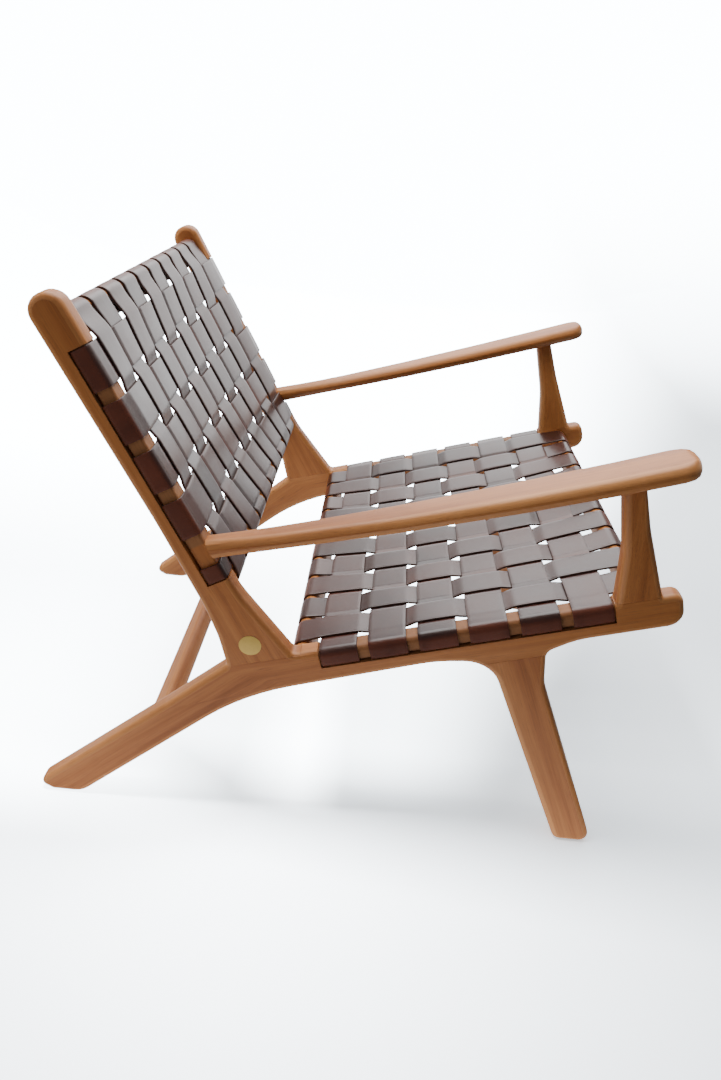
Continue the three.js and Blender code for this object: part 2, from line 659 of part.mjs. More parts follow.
function sidePieces() {
  const blank = board(sideOutline(), HALF_INNER, OUTER_FACE, EDGE_RADIUS);
  const margin = REBATE / 2;
  const railEnds = [-margin, seatFront + margin];
  const railBed = strapBed(seat, railEnds.map((along) => ({ along, groove: RAIL_GROOVE })), RAIL_BEND);
  const postEnds = [LOWEST_ROW - margin, backRows.at(-1) + STRAP_WIDTH / 2 + margin];
  const postBed = strapBed(back, postEnds.map((along) => ({ along, groove: postGroove(along) })), POST_BEND);
  const behindArm = [[0, FIT - REBATE], [postTop, FIT - REBATE], [postTop, -postTop], [0, -postTop]];
  const armCut = region(behindArm.map(([along, out]) => at(back, 0, along, out)));
  const { post_dowel, front_leg_dowel, arm_post_lower_dowel, arm_post_upper_dowel, arm_rear_dowel } = dowels;
  return {
    seat_rail: cut(blank, [
      postRegion(0), frontLegRegion(0), armPostRegion(0), railBed,
      mortise(bars.rear_seat_bar), mortise(bars.front_seat_bar), mortise(bars.rear_stretcher),
      post_dowel.hole, front_leg_dowel.hole, arm_post_lower_dowel.hole,
    ]),
    back_post: cut(keep(blank, postRegion(FIT)), [
      postBed, mortise(bars.bottom_back_bar), mortise(bars.top_back_bar),
      post_dowel.hole, arm_rear_dowel.hole,
    ]),
    front_leg: cut(keep(blank, frontLegRegion(FIT)), [front_leg_dowel.hole]),
    arm_post: cut(splayed(cut(keep(blank, armPostRegion(FIT)), [overArmPost()])), [
      arm_post_lower_dowel.hole, arm_post_upper_dowel.hole,
    ]),
    armrest: cut(armBlank(), [armCut, arm_post_upper_dowel.hole, arm_rear_dowel.hole]),
  };
}

// Straps: a station is a place on the strap's middle line with both its edges and the way its face looks

function strap(stations) {
  const half = STRAP_THICKNESS / 2;
  const rings = stations.map(({ left, right, face }) => [
    left.clone().addScaledVector(face, half),
    right.clone().addScaledVector(face, half),
    right.clone().addScaledVector(face, -half),
    left.clone().addScaledVector(face, -half),
  ]);
  return loft(rings, [2]);
}

// How far a woven panel sinks in towards its middle
function hollow(panel, x, along) {
  const across = Math.max(0, 1 - (x / HALF_INNER) ** 2);
  const place = Math.abs(2 * along - panel.low - panel.high) / (panel.high - panel.low);
  return panel.sag * across * Math.max(0, 1 - place ** 3);
}

function panelPoint(panel, x, along, height) {
  return at(panel.plane, x, along, WEAVE_LEVEL + height - hollow(panel, x, along));
}

// A strap lies flat where it crosses another, over or under it, and slopes in the gaps between.
function crossing(over) {
  const height = over ? WEAVE_HEIGHT : -WEAVE_HEIGHT;
  return [{ shift: -STRAP_WIDTH / 2, height }, { shift: STRAP_WIDTH / 2, height }];
}

function lengthCentre(index) {
  return (index + 0.5) * LENGTH_PITCH - HALF_INNER;
}

// Stations round an arc in the plane of the strap's run: 0 degrees looks out, 90 along
function arcStations(plane, x, along, out, radius, from, to) {
  const steps = Math.ceil(Math.abs(to - from) / ARC_STEP);
  return Array.from({ length: steps + 1 }, (_, step) => {
    const angle = THREE.MathUtils.lerp(from, to, step / steps) * RADIAN;
    const sine = Math.sin(angle);
    const cosine = Math.cos(angle);
    const place = [along + radius * sine, out + radius * cosine];
    return {
      left: at(plane, x - STRAP_WIDTH / 2, ...place),
      right: at(plane, x + STRAP_WIDTH / 2, ...place),
      face: plane.along.clone().multiplyScalar(sine).addScaledVector(plane.out, cosine),
    };
  });
}

function shifted(station, direction, distance) {
  return {
    left: station.left.clone().addScaledVector(direction, distance),
    right: station.right.clone().addScaledVector(direction, distance),
    face: station.face,
  };
}

// How far round a bar a strap goes on before it leaves for the row next to it, in degrees
function leaving(panel, index, rowIndex, fold, setback = 0) {
  const row = panel.rows.at(rowIndex);
  const edge = row + Math.sign(fold - row) * STRAP_WIDTH / 2;
  const [{ height }] = crossing((index + panel.rows.indexOf(row)) % 2 === 0);
  const drop = hollow(panel, lengthCentre(index), edge) - height - setback;
  return Math.atan2(drop, Math.abs(fold - edge)) / RADIAN;
}

function lengthWeave(panel, index) {
  const x = lengthCentre(index);
  return panel.rows.flatMap((row, rowIndex) => {
    return crossing((index + rowIndex) % 2 === 0).map(({ shift, height }) => ({
      left: panelPoint(panel, x - STRAP_WIDTH / 2, row + shift, height),
      right: panelPoint(panel, x + STRAP_WIDTH / 2, row + shift, height),
      face: panel.plane.out,
    }));
  });
}

// From under the rear bar, over it, through the weave, over the front bar and under it
function seatLengthStrap(index) {
  const x = lengthCentre(index);
  const { low, high } = seatPanel;
  const fold = BAR / 2 + WRAP;
  const edge = SEAT_BAR_EDGE + WRAP;
  const edgeLevel = -REBATE - SEAT_BAR_DEPTH + SEAT_BAR_EDGE;
  const inset = BAR / 2 - SEAT_BAR_EDGE;
  const rear = [
    ...arcStations(seat, x, low - inset, edgeLevel, edge, -180, -90),
    ...arcStations(seat, x, low, FOLD_LEVEL, fold, -90, leaving(seatPanel, index, 0, low)),
  ];
  const front = [
    ...arcStations(seat, x, high, FOLD_LEVEL, fold, -leaving(seatPanel, index, -1, high), 90),
    ...arcStations(seat, x, high + inset, edgeLevel, edge, 90, 180),
  ];
  const rearTail = shifted(rear[0], seat.along, 2 * inset);
  const frontTail = shifted(front.at(-1), seat.along, -2 * inset);
  return strap([rearTail, ...rear, ...lengthWeave(seatPanel, index), ...front, frontTail]);
}

// From behind the bottom bar, under it, up through the weave and over the top bar
function backLengthStrap(index) {
  const x = lengthCentre(index);
  const { low, high } = backPanel;
  const fold = BAR / 2 + WRAP;
  const bottom = arcStations(back, x, low, FOLD_LEVEL, fold, -180, leaving(backPanel, index, 0, low));
  const leave = -leaving(backPanel, index, -1, high, TOP_BAR_SETBACK);
  const top = arcStations(back, x, high, FOLD_LEVEL - TOP_BAR_SETBACK, fold, leave, 180);
  const bottomTail = shifted(bottom[0], back.along, BACK_STRAP_TAIL);
  const topTail = shifted(top.at(-1), back.along, -BACK_STRAP_TAIL);
  return strap([bottomTail, ...bottom, ...lengthWeave(backPanel, index), ...top, topTail]);
}

// The end of a cross strap: off the weave, over the frame's edge, down its outer face and into the groove
function endStations(panel, edges, groove, bend, side) {
  const overEdge = { inward: REBATE + bend, out: () => -REBATE - bend, radius: bend + WRAP };
  const intoGroove = { inward: REBATE, out: (along) => GROOVE_HEIGHT / 2 - groove(along), radius: WRAP };
  const turns = [
    ...[0, 30, 60, 90].map((angle) => ({ angle, ...overEdge })),
    ...[90, 135, 180].map((angle) => ({ angle, ...intoGroove })),
  ];
  const stations = turns.map(({ angle, inward, out, radius }) => {
    const sine = Math.sin(angle * RADIAN);
    const cosine = Math.cos(angle * RADIAN);
    const x = side * (OUTER_FACE - inward + radius * sine);
    const [left, right] = edges.map((along) => at(panel.plane, x, along, out(along) + radius * cosine));
    return { left, right, face: panel.plane.out.clone().multiplyScalar(cosine).setX(side * sine) };
  });
  const [left, right] = edges.map((along) => at(panel.plane, side * HALF_INNER, along, WEAVE_LEVEL));
  const inner = { left, right, face: panel.plane.out };
  const tip = shifted(stations.at(-1), new THREE.Vector3(-side, 0, 0), GROOVE_DEPTH - REBATE - 2 * FIT);
  return [inner, ...stations, tip];
}

function crossStrap(panel, rowIndex, groove, bend, endWidth = STRAP_WIDTH) {
  const edges = [panel.rows[rowIndex] - STRAP_WIDTH / 2, panel.rows[rowIndex] + STRAP_WIDTH / 2];
  const endEdges = [edges[0], edges[0] + endWidth];
  const weave = Array.from({ length: LENGTH_STRAPS }, (_, index) => {
    return crossing((index + rowIndex) % 2 !== 0).map(({ shift, height }) => ({
      left: panelPoint(panel, lengthCentre(index) + shift, edges[0], height),
      right: panelPoint(panel, lengthCentre(index) + shift, edges[1], height),
      face: panel.plane.out,
    }));
  });
  const [low, high] = [-1, 1].map((side) => endStations(panel, endEdges, groove, bend, side));
  return strap([...low.reverse(), ...weave.flat(), ...high]);
}

function seatCrossStrap(rowIndex) {
  return crossStrap(seatPanel, rowIndex, () => RAIL_GROOVE, RAIL_BEND);
}

// The lowest back strap is notched at its ends to clear the arms.
function backCrossStrap(rowIndex) {
  const notched = armMiddle - armHalfRear - NOTCH_BELOW_ARM - LOWEST_ROW;
  return crossStrap(backPanel, rowIndex, postGroove, POST_BEND, rowIndex === 0 ? notched : STRAP_WIDTH);
}

// The chair

const chair = new THREE.Group();
chair.name = 'lounge_chair';

function add(name, geometry, material) {
  const mesh = new THREE.Mesh(geometry, material);
  mesh.name = name;
  chair.add(mesh);
}

for (const [name, geometry] of Object.entries(sidePieces())) {
  add(`${name}_left`, geometry, teak);
  add(`${name}_right`, mirrored(geometry), teak);
}
for (const [name, bar] of Object.entries(bars)) {
  add(name, barGeometry(bar), teak);
}
for (const [name, { peg }] of Object.entries(dowels)) {
  add(`${name}_left`, peg, beech);
  add(`${name}_right`, mirrored(peg), beech);
}
for (let index = 0; index < LENGTH_STRAPS; index += 1) {
  add(`seat_strap_${index + 1}`, seatLengthStrap(index), leather);
  add(`back_strap_${index + 1}`, backLengthStrap(index), leather);
}
for (let index = 0; index < SEAT_CROSS_STRAPS; index += 1) {
  add(`seat_cross_strap_${index + 1}`, seatCrossStrap(index), leather);
}
for (let index = 0; index < BACK_CROSS_STRAPS; index += 1) {
  add(`back_cross_strap_${index + 1}`, backCrossStrap(index), leather);
}

// Centre the chair over the origin.
const box = new THREE.Box3().setFromObject(chair);
chair.children.forEach((mesh) => mesh.geometry.translate(0, -(box.min.y + box.max.y) / 2, 0));

export default chair;
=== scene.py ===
"""A low lounge chair: woven leather straps on a shaped teak frame."""
import math

import bpy
from mathutils import Matrix, Vector


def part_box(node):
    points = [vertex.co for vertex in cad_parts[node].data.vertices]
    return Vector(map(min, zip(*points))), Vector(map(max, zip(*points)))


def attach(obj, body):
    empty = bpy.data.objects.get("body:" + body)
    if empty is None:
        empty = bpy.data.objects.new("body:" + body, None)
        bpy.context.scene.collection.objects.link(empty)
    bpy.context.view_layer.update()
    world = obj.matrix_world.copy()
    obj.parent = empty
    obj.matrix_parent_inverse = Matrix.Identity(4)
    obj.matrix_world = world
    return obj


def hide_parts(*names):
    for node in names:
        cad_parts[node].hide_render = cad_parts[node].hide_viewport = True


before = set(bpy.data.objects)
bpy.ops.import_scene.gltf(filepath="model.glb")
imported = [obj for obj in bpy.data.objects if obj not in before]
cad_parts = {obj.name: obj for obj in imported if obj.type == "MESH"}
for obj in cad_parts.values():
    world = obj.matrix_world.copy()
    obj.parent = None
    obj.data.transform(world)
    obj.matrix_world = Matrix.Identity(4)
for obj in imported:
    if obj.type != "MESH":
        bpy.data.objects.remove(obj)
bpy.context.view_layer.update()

MM = 0.001

# Sizes of the weave and the frame, in millimetres
STRAP_WIDTH = 50
STRAP_THICKNESS = 3
STRAP_CROWN = 0.25          # rise of a strap's middle over its edges
STRAP_EDGE = 0.5            # rounding of its cut edges
EDGE_SHARE = 0.3            # share of that rounding at its first facet
SEAT_BOW = 0.45             # rise of a strap in the middle of a crossing
BACK_BOW = 0.4
LENGTH_PITCH = 60
LENGTH_STRAPS = 10
SEAT_CROSS_PITCH = 65
SEAT_CROSS_STRAPS = 6
BACK_CROSS_PITCH = 66.4
BACK_CROSS_STRAPS = 5
SEAT_SAG = 13
BACK_SAG = 17
HALF_INNER = 300
OUTER_FACE = 330
FIT = 0.3                   # clearance of pieces that touch
REBATE = 3.5                # how deep the strap ends are let into the frame
WRAP = FIT + STRAP_THICKNESS / 2
WEAVE_LEVEL = WRAP - REBATE
WEAVE_HEIGHT = 1.7
BAR = 22
FOLD_LEVEL = -REBATE - BAR / 2
FOLD_RADIUS = BAR / 2 + WRAP
FOLD_SHARE = 0.7            # share of that radius to each side of a bar where a strap must clear it
SEAT_BAR_DEPTH = 36
SEAT_BAR_EDGE = 5
BACK_STRAP_TAIL = 7
GROOVE_HEIGHT = 4
GROOVE_DEPTH = 10
RAIL_GROOVE = 24
POST_GROOVE_LOW = 28
POST_GROOVE_HIGH = 23
RAIL_BEND = 8
POST_BEND = 4
NOTCHED_END = 22            # width of the lowest back strap's ends
NOTCH_RUN = 8               # over which it narrows
LANDING = 2                 # how far past the frame's inner face a strap from below rests on it
LATE_LANDING = 1            # how far short of its bend over the edge a strap from above rests on it
STEP = 3                    # distance between the cross-sections of a strap
ARC_STEPS = 1.6             # as many times closer together round a bend

# Where the seat and the back lie
SEAT_ANGLE = math.radians(17.4)
BACK_ANGLE = math.radians(29.8)
BACK_SETBACK = 55.3
LOWEST_ROW = 131.7          # lower edge of the lowest back strap, up the line of the back
REAR_BAR = -27              # middles of the bars, along the seat and up the back
FRONT_BAR = 410
BOTTOM_BAR = 118.7
TOP_BAR = 480.3
TOP_BAR_SETBACK = 8
TOP_TAIL_END = (456, -11)   # where a back strap's upper end, as (along, out), is glued to its own back
SEAT_BED = (-2, 377)        # reach of the rebates under the strap ends, along the seat and up the back
BACK_BED = (LOWEST_ROW - 2, 450)
BED_MARGIN = 0.8            # slack at the faces of the rebates
BED_DEPTH = 12              # how far in from a rebate's outer face its wood counts as bare
BARE_FROM = (0.182, 0.186)  # metres up a back post over which its rebate turns bare

# Angles past which an edge stays sharp
WOOD_EDGE = math.radians(52)
LEATHER_EDGE = math.radians(50)
DISC_EDGE = math.radians(40)


def box_middle(node):
    """Middle of a CAD node's box."""
    low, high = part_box(node)
    return (low + high) / 2


class Plane:
    """A sloping plane parallel to X: along runs up its slope, out stands square to it, in millimetres."""

    def __init__(self, origin, along, out):
        self.origin, self.along, self.out = origin, along, out

    def at(self, x, along, out):
        """The point at these millimetres, in metres."""
        return Vector((x * MM, 0, 0)) + self.origin + self.along * (along * MM) + self.out * (out * MM)

    def place(self, point):
        """How far along and out of the plane a point is, in millimetres."""
        offset = (point - self.origin) / MM
        return offset.dot(self.along), offset.dot(self.out)


def back_plane():
    """The plane of the back, placed by its bottom bar."""
    along = Vector((0, math.sin(BACK_ANGLE), math.cos(BACK_ANGLE)))
    out = Vector((0, -math.cos(BACK_ANGLE), math.sin(BACK_ANGLE)))
    bar = box_middle("bottom_back_bar")
    return Plane(bar - along * (BOTTOM_BAR * MM) - out * (FOLD_LEVEL * MM), along, out)


def seat_plane():
    """The plane of the seat, in front of the foot of the back."""
    along = Vector((0, -math.cos(SEAT_ANGLE), math.sin(SEAT_ANGLE)))
    out = Vector((0, math.sin(SEAT_ANGLE), math.cos(SEAT_ANGLE)))
    return Plane(back.origin + along * (BACK_SETBACK * MM), along, out)


back = back_plane()
seat = seat_plane()


class Panel:
    """A woven panel: the middles of its cross straps, its bars as (along, out), its sag and its bow."""

    def __init__(self, plane, rows, bars, sag, bow):
        self.plane, self.rows, self.bars, self.sag, self.bow = plane, rows, bars, sag, bow

    def hollow(self, x, along):
        """Depth of the sag at a place of the panel."""
        (low, _), (high, _) = self.bars
        across = max(0, 1 - (x / HALF_INNER) ** 2)
        place = abs(2 * along - low - high) / (high - low)
        return self.sag * across * max(0, 1 - place ** 3)


seat_panel = Panel(
    plane=seat,
    rows=[STRAP_WIDTH / 2 + SEAT_CROSS_PITCH * row for row in range(SEAT_CROSS_STRAPS)],
    bars=((REAR_BAR, FOLD_LEVEL), (FRONT_BAR, FOLD_LEVEL)),
    sag=SEAT_SAG,
    bow=SEAT_BOW,
)
back_panel = Panel(
    plane=back,
    rows=[LOWEST_ROW + STRAP_WIDTH / 2 + BACK_CROSS_PITCH * row for row in range(BACK_CROSS_STRAPS)],
    bars=((BOTTOM_BAR, FOLD_LEVEL), (TOP_BAR, FOLD_LEVEL - TOP_BAR_SETBACK)),
    sag=BACK_SAG,
    bow=BACK_BOW,
)


# Shader nodes

class Socket:
    """An output of a shader node. Arithmetic on it adds Math nodes."""

    def __init__(self, shader, output):
        self.shader, self.output = shader, output

    def math(self, operation, *values):
        inputs = dict(enumerate(values))
        return self.shader.add("ShaderNodeMath", {"operation": operation}, inputs)

    def __add__(self, other):
        return self.math("ADD", self, other)

    def __radd__(self, other):
        return self.math("ADD", other, self)

    def __sub__(self, other):
        return self.math("SUBTRACT", self, other)

    def __rsub__(self, other):
        return self.math("SUBTRACT", other, self)

    def __mul__(self, other):
        return self.math("MULTIPLY", self, other)

    def __rmul__(self, other):
        return self.math("MULTIPLY", other, self)

    def larger(self, other):
        return self.math("MAXIMUM", self, other)


class Shader:
    """A node material, built from its surface backwards."""

    def __init__(self, name):
        self.material = bpy.data.materials.new(name)
        self.material.use_nodes = True
        self.tree = self.material.node_tree
        self.tree.nodes.clear()

    def add(self, kind, settings=None, inputs=None, output=0):
        """A node with its settings and the values or links of its sockets. Gives one of its outputs."""
        node = self.tree.nodes.new(kind)
        for key, value in (settings or {}).items():
            if key == "stops":
                self.set_stops(node.color_ramp, value)
            else:
                setattr(node, key, value)
        for key, value in (inputs or {}).items():
            if isinstance(value, Socket):
                self.tree.links.new(value.output, node.inputs[key])
            else:
                node.inputs[key].default_value = value
        return Socket(self, node.outputs[output]) if node.outputs else None

    @staticmethod
    def set_stops(ramp, stops):
        while len(ramp.elements) < len(stops):
            ramp.elements.new(1)
        for element, (position, colour) in zip(ramp.elements, stops):
            element.position = position
            element.color = (*colour, 1)

    def place(self):
        """Place on the object, in metres."""
        return self.add("ShaderNodeTexCoord", output="Object")

    def attribute(self, name, output):
        return self.add("ShaderNodeAttribute", {"attribute_name": name}, output=output)

    def part(self, vector, axis):
        return self.add("ShaderNodeSeparateXYZ", {}, {"Vector": vector}, axis)

    def stretched(self, vector, scale):
        return self.add("ShaderNodeMapping", {}, {"Vector": vector, "Scale": scale})

    def noise(self, vector, scale, detail=3, roughness=0.5, distortion=0):
        inputs = {"Vector": vector, "Scale": scale, "Detail": detail, "Roughness": roughness,
                  "Distortion": distortion}
        return self.add("ShaderNodeTexNoise", {}, inputs, "Fac")

    def ramp(self, value, stops):
        return self.add("ShaderNodeValToRGB", {"stops": stops}, {"Fac": value}, "Color")

    def remap(self, value, low, high, to_low=0, to_high=1):
        inputs = {"Value": value, "From Min": low, "From Max": high, "To Min": to_low, "To Max": to_high}
        return self.add("ShaderNodeMapRange", {"interpolation_type": "SMOOTHSTEP"}, inputs, "Result")

    def mix(self, share, first, second):
        colours = [colour if isinstance(colour, Socket) else (*colour, 1) for colour in (first, second)]
        inputs = {0: share, 6: colours[0], 7: colours[1]}
        return self.add("ShaderNodeMix", {"data_type": "RGBA"}, inputs, 2)

    def bump(self, height, strength, distance):
        inputs = {"Height": height, "Strength": strength, "Distance": distance}
        return self.add("ShaderNodeBump", {}, inputs, "Normal")

    def finish(self, inputs):
        surface = self.add("ShaderNodeBsdfPrincipled", {}, inputs)
        self.add("ShaderNodeOutputMaterial", {}, {"Surface": surface})
        return self.material


def teak_material():
    """Oiled teak. The grain attribute holds the distance along the grain and two distances across it."""
    shader = Shader("teak")
    grain = shader.attribute("grain", "Vector")
    bed = shader.attribute("bed", "Fac")
    rubbed = shader.attribute("rubbed", "Fac")
    bare = bed * shader.remap(shader.attribute("up_bed", "Fac"), *BARE_FROM)
    figure = shader.noise(shader.stretched(grain, (1.5, 17, 17)), 1, 3, 0.55, 0.5)
    streaks = shader.noise(shader.stretched(grain, (2.6, 85, 85)), 1, 4, 0.6)
    fibres = shader.noise(shader.stretched(grain, (14, 900, 900)), 1, 3, 0.6)
    pores = shader.remap(shader.noise(shader.stretched(grain, (30, 1500, 1500)), 1, 1), 0.62, 0.76)
    tone = figure * 0.5 + streaks * 0.34 + fibres * 0.16
    wood = shader.ramp(tone, [
        (0.35, (0.255, 0.079, 0.021)),
        (0.45, (0.362, 0.124, 0.034)),
        (0.55, (0.445, 0.167, 0.048)),
        (0.67, (0.545, 0.232, 0.077)),
    ])
    pored = shader.mix(pores * 0.4, wood, (0.10, 0.034, 0.013))
    # Painted highlight: rounded edges are mixed toward a lighter teak, partly wear and partly the highlight
    # that light puts on them.
    worn_and_lit = shader.mix(rubbed * (0.1 + figure * 0.35), pored, (0.62, 0.30, 0.115))
    raw = shader.mix(fibres, (0.23, 0.090, 0.032), (0.34, 0.146, 0.055))
    return shader.finish({
        "Base Color": shader.mix(bare, worn_and_lit, raw),
        "Roughness": 0.34 + streaks * 0.16 + pores * 0.15 + bare * 0.2 - rubbed * 0.04,
        "Normal": shader.bump(fibres * 0.5 - pores, 0.16, 0.0004),
        "Specular IOR Level": 0.28,
        "Coat Weight": 0.1,
        "Coat Roughness": 0.28,
        "IOR": 1.5,
    })


def leather_material():
    """Waxed bridle leather, dark brown, redder where a bend pulls it, with painted light on the strap ends
    that turn down over the frame, and with plain cut edges.
    """
    shader = Shader("leather")
    place = shader.place()
    lay = shader.attribute("lay", "Vector")
    edge = shader.attribute("edge", "Fac")
    pulled = shader.attribute("pulled", "Fac")
    tint = shader.attribute("tint", "Fac")
    clouds = shader.noise(shader.stretched(lay, (9, 16, 1)), 1, 4, 0.6)
    drag = shader.noise(shader.stretched(lay, (9, 420, 1)), 1, 3, 0.6)
    pebbles = shader.add("ShaderNodeTexVoronoi", {}, {"Vector": place, "Scale": 900}, "Distance")
    fine = shader.noise(place, 2600, 2)
    hide = shader.ramp(clouds * 0.65 + drag * 0.15 + tint * 0.2, [
        (0.26, (0.014, 0.0041, 0.0026)),
        (0.50, (0.035, 0.0085, 0.0045)),
        (0.74, (0.056, 0.0138, 0.0068)),
    ])
    specks = shader.remap(shader.noise(place, 420, 1), 0.70, 0.76)
    # Painted light: faces turned away from a strap's flat face are mixed toward a lighter red, partly
    # pull-up colour and partly light painted on the turned-down ends.
    bent_and_lit = shader.mix(pulled * shader.remap(clouds, 0.25, 0.7, 0.5, 1), hide, (0.130, 0.029, 0.010))
    worn_and_lit = shader.mix(specks * 0.3, bent_and_lit, (0.12, 0.075, 0.055))
    return shader.finish({
        "Base Color": shader.mix(edge, worn_and_lit, (0.046, 0.0175, 0.0100)),
        "Roughness": 0.24 + clouds * 0.18 + drag * 0.05 + tint * 0.04 + edge * 0.3,
        "Normal": shader.bump(pebbles * 0.6 + fine * 0.4 + drag * 0.5 + clouds * 9, 0.12, 0.0003),
        "Coat Weight": 0.3,
        "Coat Roughness": 0.2,
        "IOR": 1.52,
    })


def beech_material():
    """Bare beech, for the dowels."""
    shader = Shader("beech")
    place = shader.place()
    flecks = shader.noise(place, 900, 2)
    grain = shader.noise(place, 220, 4)
    return shader.finish({
        "Base Color": shader.mix(grain, (0.62, 0.41, 0.21), (0.50, 0.31, 0.15)),
        "Roughness": 0.6 + flecks * 0.2,
        "Normal": shader.bump(flecks, 0.1, 0.0002),
    })


def brass_material():
    """Satin brass with fine scratches and a little tarnish."""
    shader = Shader("satin_brass")
    place = shader.place()
    scratches = shader.noise(shader.stretched(place, (1, 2400, 160)), 1, 3, 0.6)
    tarnish = shader.noise(place, 160, 3)
    return shader.finish({
        "Base Color": shader.mix(tarnish, (0.82, 0.56, 0.15), (0.70, 0.45, 0.11)),
        "Roughness": 0.38 + scratches * 0.2,
        "Metallic": 0.25,
        "Normal": shader.bump(scratches, 0.1, 0.0002),
    })


def paper_material():
    """White paper with its light painted on as an emission glow: brightest on the wall and beyond the
    chair, brighter to +Y, softer over the near floor and to the -Y side.
    """
    shader = Shader("studio_paper")
    place = shader.place()
    shade = shader.noise(place, 0.6, 2)
    x, y, z = (shader.part(place, axis) for axis in "XYZ")
    # Painted light and shade: the glow stands in for studio light, with a painted pool of light under and
    # beyond the chair and to +Y, and painted shade over the near floor and towards -Y.
    near = shader.remap(x, -0.75, -0.4, 0.02, 0.048) * shader.remap(x, -0.3, 0.1, 1, 0.3)
    left = shader.remap(y, 0.06, 0.38, 0, 0.55) * shader.remap(x, -0.44, -0.27, 0.05, 1)
    under_chair = shader.remap(x, -0.32, -0.16, 0, 0.42)
    far = shader.remap(x, -0.1, 1.2, 0, 0.58)
    side = shader.remap(y, x * -0.5 - 0.4, x * -0.15 - 0.1, 0.06, 1)
    beyond = (under_chair + far) * side.larger(shader.remap(x + z, 1.2, 5))
    wall = shader.remap(z, 0.1, 1.5)
    painted_glow = (near + beyond).larger(left).larger(wall)
    return shader.finish({
        "Base Color": shader.mix(shade, (0.77, 0.83, 0.88), (0.81, 0.86, 0.91)),
        "Roughness": 0.85,
        "Emission Color": shader.mix(painted_glow, (0, 0, 0), (0.85, 0.94, 1)),
        "Emission Strength": 16,
    })


teak = teak_material()
leather = leather_material()
beech = beech_material()
brass = brass_material()
paper = paper_material()


# Wood

def only(piece):
    """Selects this piece alone and makes it active."""
    bpy.ops.object.select_all(action="DESELECT")
    piece.select_set(True)
    bpy.context.view_layer.objects.active = piece


SAME_POINT = 0.00002        # metres between two corners that are one


def smooth_copy(node):
    """A copy of a CAD node with its triangles joined and its round edges shaded smooth."""
    piece = bpy.data.objects.new(f"{node}_wood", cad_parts[node].data.copy())
    bpy.context.scene.collection.objects.link(piece)
    only(piece)
    bpy.ops.object.mode_set(mode="EDIT")
    bpy.ops.mesh.select_all(action="SELECT")
    bpy.ops.mesh.remove_doubles(threshold=SAME_POINT)
    bpy.ops.mesh.customdata_custom_splitnormals_clear()
    bpy.ops.object.mode_set(mode="OBJECT")
    bpy.ops.object.shade_smooth_by_angle(angle=WOOD_EDGE)
    weighted = piece.modifiers.new("even_light", "WEIGHTED_NORMAL")
    weighted.keep_sharp = True
    bpy.ops.object.modifier_apply(modifier=weighted.name)
    return piece


def write_vectors(piece, name, values):
    attribute = piece.data.attributes.new(name, "FLOAT_VECTOR", "POINT")
    attribute.data.foreach_set("vector", [number for value in values for number in value])


def write_numbers(piece, name, values, domain="POINT"):
    attribute = piece.data.attributes.new(name, "FLOAT", domain)
    attribute.data.foreach_set("value", values)


PATTERN_STEP = (0.613, 0.137, 0.271)


def seed_shift(seed):
    """Moves a pattern so that no two pieces show the same part of it."""
    return Vector([step * seed for step in PATTERN_STEP])


def straight_grain(direction, start, seed):
    """Grain along one direction of the YZ plane, counted from a start."""
    along = direction.normalized()
    square = Vector((0, -along.z, along.y))

    def grain(point):
        offset = point - start
        return Vector((offset.dot(along), offset.dot(square), point.x)) + seed_shift(seed)

    return grain


def bent_grain(first, second, start, seed):
    """Grain that turns from one direction to another at a start."""
    before = straight_grain(first, start, seed)
    after = straight_grain(second, start, seed)
    middle = (first.normalized() + second.normalized()).normalized()

    def grain(point):
        return before(point) if (point - start).dot(middle) < 0 else after(point)

    return grain


def bar_grain(seed):
    """Grain along X, for the pieces across the chair."""

    def grain(point):
        return point + seed_shift(seed)

    return grain


def in_strap_bed(point):
    """True in the rebates under the strap ends, where the wood has no oil on it."""
    inward = OUTER_FACE - abs(point.x) / MM
    for plane, (low, high) in ((seat, SEAT_BED), (back, BACK_BED)):
        along, out = plane.place(point)
        level = -POST_GROOVE_LOW < out < BED_MARGIN - REBATE
        if low < along < high and level and inward > REBATE - BED_MARGIN:
            return inward < REBATE + BED_DEPTH or out > -REBATE - BED_MARGIN
    return False


ROUNDED = (0.2, 0.97)       # share of X in the normals of a rounded edge


def on_round_edge(normal):
    """True where a board's edge is rounded over, where hands rub it and the teak paints a highlight."""
    return ROUNDED[0] < abs(normal.x) < ROUNDED[1]


def finish_wood(piece, node, grain):
    """Writes what the teak reads on a piece: its grain, its rebates and its rubbed edges, painted lighter
    for wear and as a painted highlight.
    """
    vertices, faces = piece.data.vertices, piece.data.polygons
    write_vectors(piece, "grain", [grain(vertex.co) for vertex in vertices])
    if node.startswith("back_post"):
        write_numbers(piece, "up_bed", [back.place(vertex.co)[0] * MM for vertex in vertices])
    else:
        write_numbers(piece, "up_bed", [1.0] * len(vertices))
    write_numbers(piece, "bed", [float(in_strap_bed(face.center)) for face in faces], "FACE")
    write_numbers(piece, "rubbed", [float(on_round_edge(face.normal)) for face in faces], "FACE")
    dress(piece, teak, node)


def dress(piece, material, node=None):
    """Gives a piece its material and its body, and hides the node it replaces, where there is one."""
    piece.data.materials.clear()
    piece.data.materials.append(material)
    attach(piece, "root")
    if node:
        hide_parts(node)


# Where the grain of the boards starts, and the way it runs
LEG_BEND = seat.at(0, -116, -26)
LEG_ROOT = seat.at(0, 250, -58)
ARM_POST_FOOT = seat.at(0, 400, 0)
ARM_REAR = back.at(0, 175, 0)
REAR_LEG = Vector((0, 0.755, -0.656))
FRONT_LEG = Vector((0, -0.40, -0.92))
ARM_POST = Vector((0, 0.16, 0.99))
ARM = Vector((0, -0.951, 0.307))
BARS = ("rear_seat_bar", "front_seat_bar", "bottom_back_bar", "top_back_bar", "rear_stretcher")
DOWELS = ("post_dowel", "front_leg_dowel", "arm_post_lower_dowel", "arm_post_upper_dowel", "arm_rear_dowel")


